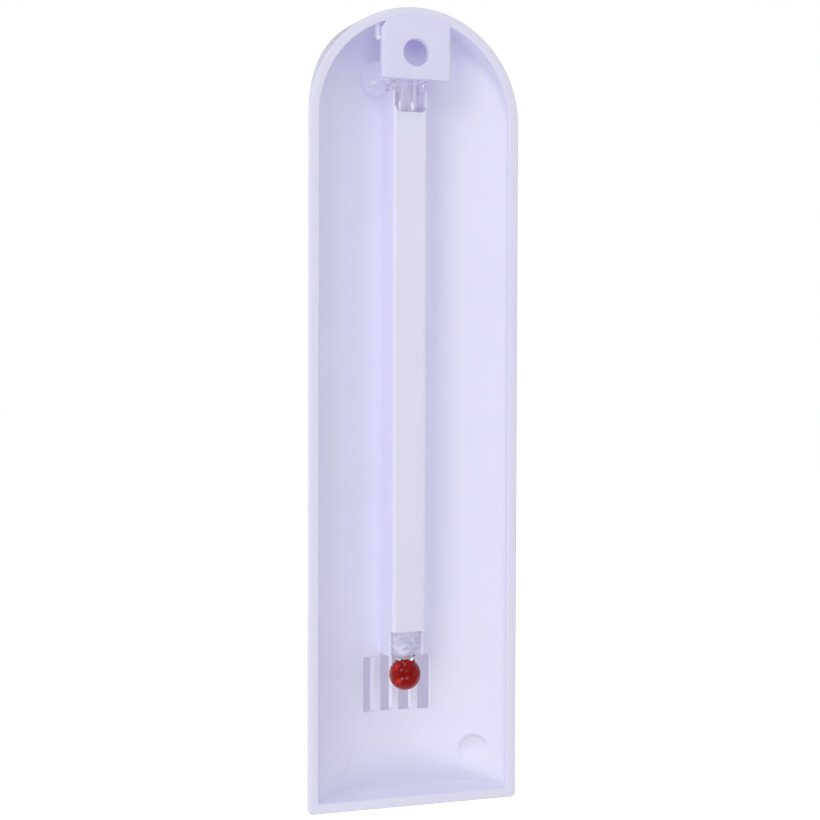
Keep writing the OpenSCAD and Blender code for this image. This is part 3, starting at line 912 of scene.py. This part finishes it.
spiritThread = newPiece("spiritThread", [net(threadSurface(), wrapCols=True)], thinSpirit, 50)
spiritHead = newPiece("spiritHead", [net(headSurface(), wrapCols=True)], thinSpirit, 50)
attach(spiritHead, "spirit_level")
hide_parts("spirit_head")
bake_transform(spiritThread)
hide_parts("spirit_thread")
print("glass and spirit made")


# the hanger plate

# above arcFrom the plate lies in its seat and its edge is sharper
hanger = dict(half=9.1, drop=6.6, thick=2.0, hole=3.45, cut=1.0, cutLow=5.7, cutHigh=7.3, radius=26.09,
              edge=0.3, arcEdge=0.03, holeEdge=0.2, arcFrom=7.35, arcSteps=48, runs=(40, 40, 34, 8, 4))


def plateOutline():
    # a round top, straight sides and one cut corner, as evenly filled stretches
    h = hanger
    x0, x1 = -h["half"], h["half"] - h["cut"]
    a = np.linspace(math.asin(x1 / h["radius"]), math.asin(x0 / h["radius"]), h["arcSteps"])
    arc = np.stack([h["radius"] * np.sin(a), domeZ + h["radius"] * np.cos(a)], -1)
    stops = [arc[-1], (x0, -h["drop"]), (h["half"], -h["drop"]), (h["half"], h["cutLow"]), (x1, h["cutHigh"]),
             arc[0]]
    runs = [np.linspace(stops[i], stops[i + 1], n, endpoint=False) for i, n in enumerate(h["runs"])]
    return np.concatenate([arc[:-1]] + runs)


def hangerPlate():
    # sections round the hole: hole wall, back face, outer wall and front face, each edge a quarter round
    h = hanger
    rimLoop = plateOutline()
    reach = np.linalg.norm(rimLoop, axis=1)[:, None]
    way = rimLoop / reach
    bend, drop = quarter(5)
    q = h["holeEdge"]
    e = np.where(rimLoop[:, 1:] > h["arcFrom"], h["arcEdge"], h["edge"])
    blend = np.linspace(0, 1, 6)[None, 1:-1]
    near, far = h["hole"] + q, reach - e
    s = np.hstack([h["hole"] + q * bend + 0 * reach, near + (far - near) * blend, reach - e * bend[::-1]])
    y = np.hstack([-q * drop + 0 * reach, 0 * blend + 0 * reach, -e * drop[::-1]])
    s, y = np.hstack([s, s[:, ::-1]]), np.hstack([y, -h["thick"] - y[:, ::-1]])
    return np.stack([way[:, :1] * s, y, way[:, 1:] * s], -1)


plateObj = newPiece("hangerPlate", [net(hangerPlate(), wrapRows=True, wrapCols=True)], plateWhite)
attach(plateObj, "thermometer")
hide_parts("hanger_plate")

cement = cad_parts["plate_cement"]
cement.data.materials.clear()
cement.data.materials.append(setCement)
print("hanger plate made")


# the glue

# the dab as overlapping blobs: their middles, then their half lengths
glue = dict(blobs=((6.5, -11.6, -5.0, 4.5, 4.6, 4.7), (5.4, -8.8, -4.6, 3.4, 3.6, 3.7),
                   (2.6, -6.4, -6.8, 2.9, 2.9, 2.6), (-0.6, -5.6, -5.2, 3.6, 2.4, 2.4),
                   (-3.4, -7.6, -5.6, 2.0, 3.6, 2.8), (0.6, -9.6, -4.4, 4.4, 3.6, 2.4)),
            rows=25, cols=40, voxel=0.22, ease=0.5, easeSteps=12, sunk=0.5)


def ellipsoid(x, y, z, rx, ry, rz):
    # a ball by its two angles, stretched on three axes
    u, v = np.meshgrid(np.linspace(-math.pi / 2, math.pi / 2, glue["rows"]),
                       np.linspace(0, 2 * math.pi, glue["cols"], endpoint=False), indexing="ij")
    ball = np.stack([x + rx * np.cos(u) * np.cos(v), y + ry * np.sin(u), z + rz * np.cos(u) * np.sin(v)], -1)
    return net(ball, wrapCols=True)


dab = newPiece("glueDab", [ellipsoid(*b) for b in glue["blobs"]], setGlue)
knit = dab.modifiers.new("knit", "REMESH")
knit.mode = "VOXEL"
knit.voxel_size = glue["voxel"] * mm
ease = dab.modifiers.new("ease", "SMOOTH")
ease.factor = glue["ease"]
ease.iterations = glue["easeSteps"]
applyAll(dab, 180)
# the base lies a little under the floor
points = np.empty(len(dab.data.vertices) * 3)
dab.data.vertices.foreach_get("co", points)
points = points.reshape(-1, 3)
floorY = crownY(points[:, 0] / mm, case["innerRadius"]) - glue["sunk"]
points[:, 1] = np.maximum(points[:, 1], floorY * mm)
dab.data.vertices.foreach_set("co", points.ravel())
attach(dab, "thermometer")
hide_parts("glue_dab")
print("glue made")


# the printed scale on the front

scale = dict(zeroZ=-61.0, zeroAt=20, degree=1.3, start=5.7, short=1.9, middle=2.8, long=3.8, line=0.20,
             bold=0.30, height=0.05, sunk=0.03, across=(-1, -0.9, 0, 0.9, 1), least=0.002, figure=3.3,
             figureX=13.2, figureLine=0.42, figureWide=0.6, figureGap=0.28, strokeRise=0.002, minus=3.4,
             minusStep=1.8, hundredStep=0.8)


def arc(cx, cy, rx, ry, start, end, n):
    # n points of an oval between two angles in degrees
    t = np.radians(np.linspace(start, end, n))
    return np.stack([cx + rx * np.cos(t), cy + ry * np.sin(t)], -1)


def figureStrokes(sign):
    # each figure in a box 0.6 wide and 1 high, as the pen would draw it
    line = {
        "-": [[(0.08, 0.5), (0.52, 0.5)]],
        "0": [arc(0.3, 0.5, 0.28, 0.48, 90, 450, 36)],
        "1": [[(0.12, 0.8), (0.34, 0.98)], [(0.34, 0.98), (0.34, 0.02)]],
        "2": [np.r_[arc(0.3, 0.71, 0.25, 0.27, 170, -35, 18), [(0.05, 0.02)]], [(0.05, 0.02), (0.57, 0.02)]],
        "3": [arc(0.28, 0.74, 0.24, 0.24, 150, -85, 18), arc(0.28, 0.27, 0.27, 0.25, 80, -150, 20)],
        "4": [[(0.44, 0.98), (0.02, 0.3)], [(0.02, 0.3), (0.58, 0.3)], [(0.44, 0.98), (0.44, 0.02)]],
        "5": [[(0.52, 0.98), (0.11, 0.98)], [(0.11, 0.98), (0.07, 0.53)],
              arc(0.28, 0.32, 0.28, 0.3, 138, -145, 22)],
        "6": [arc(0.3, 0.31, 0.26, 0.29, 0, 360, 30),
              np.r_[[(0.47, 0.98)], arc(0.52, 0.4, 0.48, 0.5, 125, 182, 9)]],
        "8": [arc(0.3, 0.74, 0.22, 0.23, 0, 360, 28), arc(0.3, 0.27, 0.27, 0.25, 0, 360, 28)],
    }
    return [np.asarray(p, float) for p in line[sign]]


def inkStroke(path, width, lift=0.0):
    # a line of ink with round ends, bent over the crown
    path = np.asarray(path, float)
    t = np.linspace(0, math.pi / 2, 6)[:-1]
    first, last = path[0] - path[1], path[-1] - path[-2]
    first, last = first / np.linalg.norm(first), last / np.linalg.norm(last)
    rows = np.concatenate([path[0] + first * width / 2 * np.cos(t)[:, None], path,
                           path[-1] + last * width / 2 * np.cos(t[::-1])[:, None]])
    half = np.r_[np.sin(t), np.ones(len(path)), np.sin(t[::-1])] * width / 2 + scale["least"]
    along = np.gradient(rows, axis=0)
    along[:5], along[-5:] = -first, last
    along /= np.linalg.norm(along, axis=1, keepdims=True)
    side = np.stack([-along[:, 1], along[:, 0]], -1) * half[:, None]
    x, z = (np.stack([rows[:, i] + k * side[:, i] for k in scale["across"]], 1) for i in (0, 1))
    top = scale["height"] + lift
    y = crownY(x, outerRadius) - np.array([-scale["sunk"], top, top, top, -scale["sunk"]])
    return net(np.stack([x, y, z], -1), wrapCols=True)


def figureRow(number, x, z):
    # a number whose middle is at x and z, read from the front, where X runs to the right
    h, gap = scale["figure"], scale["figureGap"]
    signs = str(number)
    step = scale["figureWide"] * h + gap
    left = x - (len(signs) * step - gap) / 2
    # each stroke lies a little higher than the one before, so that crossings don't share a surface
    return [inkStroke(p * h + (left + i * step, z - h / 2), scale["figureLine"], scale["strokeRise"] * j)
            for i, sign in enumerate(signs) for j, p in enumerate(figureStrokes(sign))]


def degreeZ(celsius):
    # the height of a temperature: even degrees from where the column rests
    return scale["zeroZ"] + (celsius - scale["zeroAt"]) * scale["degree"]


def scaleSide(values, side, celsius, boldStep, middleStep, aside):
    # the ticks and figures on one side of the window, and how far aside each figure stands
    for value in values:
        bold, middle = value % boldStep == 0, value % middleStep == 0
        reach = scale["long"] if bold else scale["middle"] if middle else scale["short"]
        start, high = side * scale["start"], degreeZ(celsius(value))
        ticks.append(inkStroke(np.linspace((start, high), (start + side * reach, high), 5),
                               scale["bold"] if bold else scale["line"]))
        if bold:
            x = side * scale["figureX"] + aside(value)
            figures.extend(figureRow(abs(value), x, high))
            if value < 0:
                figures.extend(figureRow("-", x - scale["minus"], high))


ticks, figures = [], []
scaleSide(range(-40, 51), -1, lambda c: c, 10, 5, lambda c: 0)
scaleSide(range(-40, 121, 2), 1, lambda f: (f - 32) / 1.8, 20, 10,
          lambda f: scale["hundredStep"] if f > 99 else scale["minusStep"] if f < 0 else 0)
for name, strokes in (("scaleTicks", ticks), ("scaleFigures", figures)):
    printed = newPiece(name, strokes, blackInk, 50)
    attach(printed, "thermometer")
print("scale printed")


# floor and card

studio = dict(reach=4000, albedo=0.86, glow=0.6)
# the shaded table top that shows through the slots, as a card round the crown
card = dict(left=-10.6, right=11.4, low=-168.6, high=-150.8, gap=0.12, grey=(0.47, 0.445, 0.60))


def studioFloor():
    # a wide sheet that the case stands on, as bright as the backdrop where it lies in the open;
    # it is lit through from below, so it only stops the rays that come from the camera
    s, z = studio["reach"], case["foot"]
    feeds = {"Base Color": opaque([studio["albedo"]] * 3), "Roughness": 0.9, "Emission Color": (1, 1, 1, 1),
             "Emission Strength": studio["glow"]}
    mat, tree, shader = newMaterial("paleFloor", feeds)
    ray = addNode(tree, "LightPath", (-300, 300)).outputs["Is Camera Ray"]
    pickShader(tree, ray, addNode(tree, "BsdfTransparent", (0, -300)), shader)
    corners = [(-s, -s, z), (s, -s, z), (s, s, z), (-s, s, z)]
    return newPiece("studioFloor", [(corners, [(0, 1, 2, 3)])], mat, outward=False)


def slotCard():
    # an arc about the crown's axis, drawn along z, which only the camera sees and only from behind the case
    x = np.linspace(card["left"], card["right"], 25)
    y = crownY(x, outerRadius + card["gap"])
    pts = np.stack([np.stack([x, y, np.full(len(x), z)], -1) for z in (card["low"], card["high"])])
    feeds = {"Base Color": (0, 0, 0, 1), "Roughness": 1.0, "Emission Color": opaque(card["grey"]),
             "Emission Strength": 1.0}
    mat, tree, shader = newMaterial("shadedCard", feeds)
    ray = addNode(tree, "LightPath", (-400, 400)).outputs["Is Camera Ray"]
    side = addNode(tree, "NewGeometry", (-400, 100)).outputs["Backfacing"]
    seen = addNode(tree, "Math", (-150, 300), {0: ray, 1: side}, operation="SUBTRACT", use_clamp=True)
    pickShader(tree, seen, addNode(tree, "BsdfTransparent", (0, -300)), shader)
    return newPiece("slotCard", [net(pts, flip=True)], mat, outward=False)


studioFloor()
slotCard()
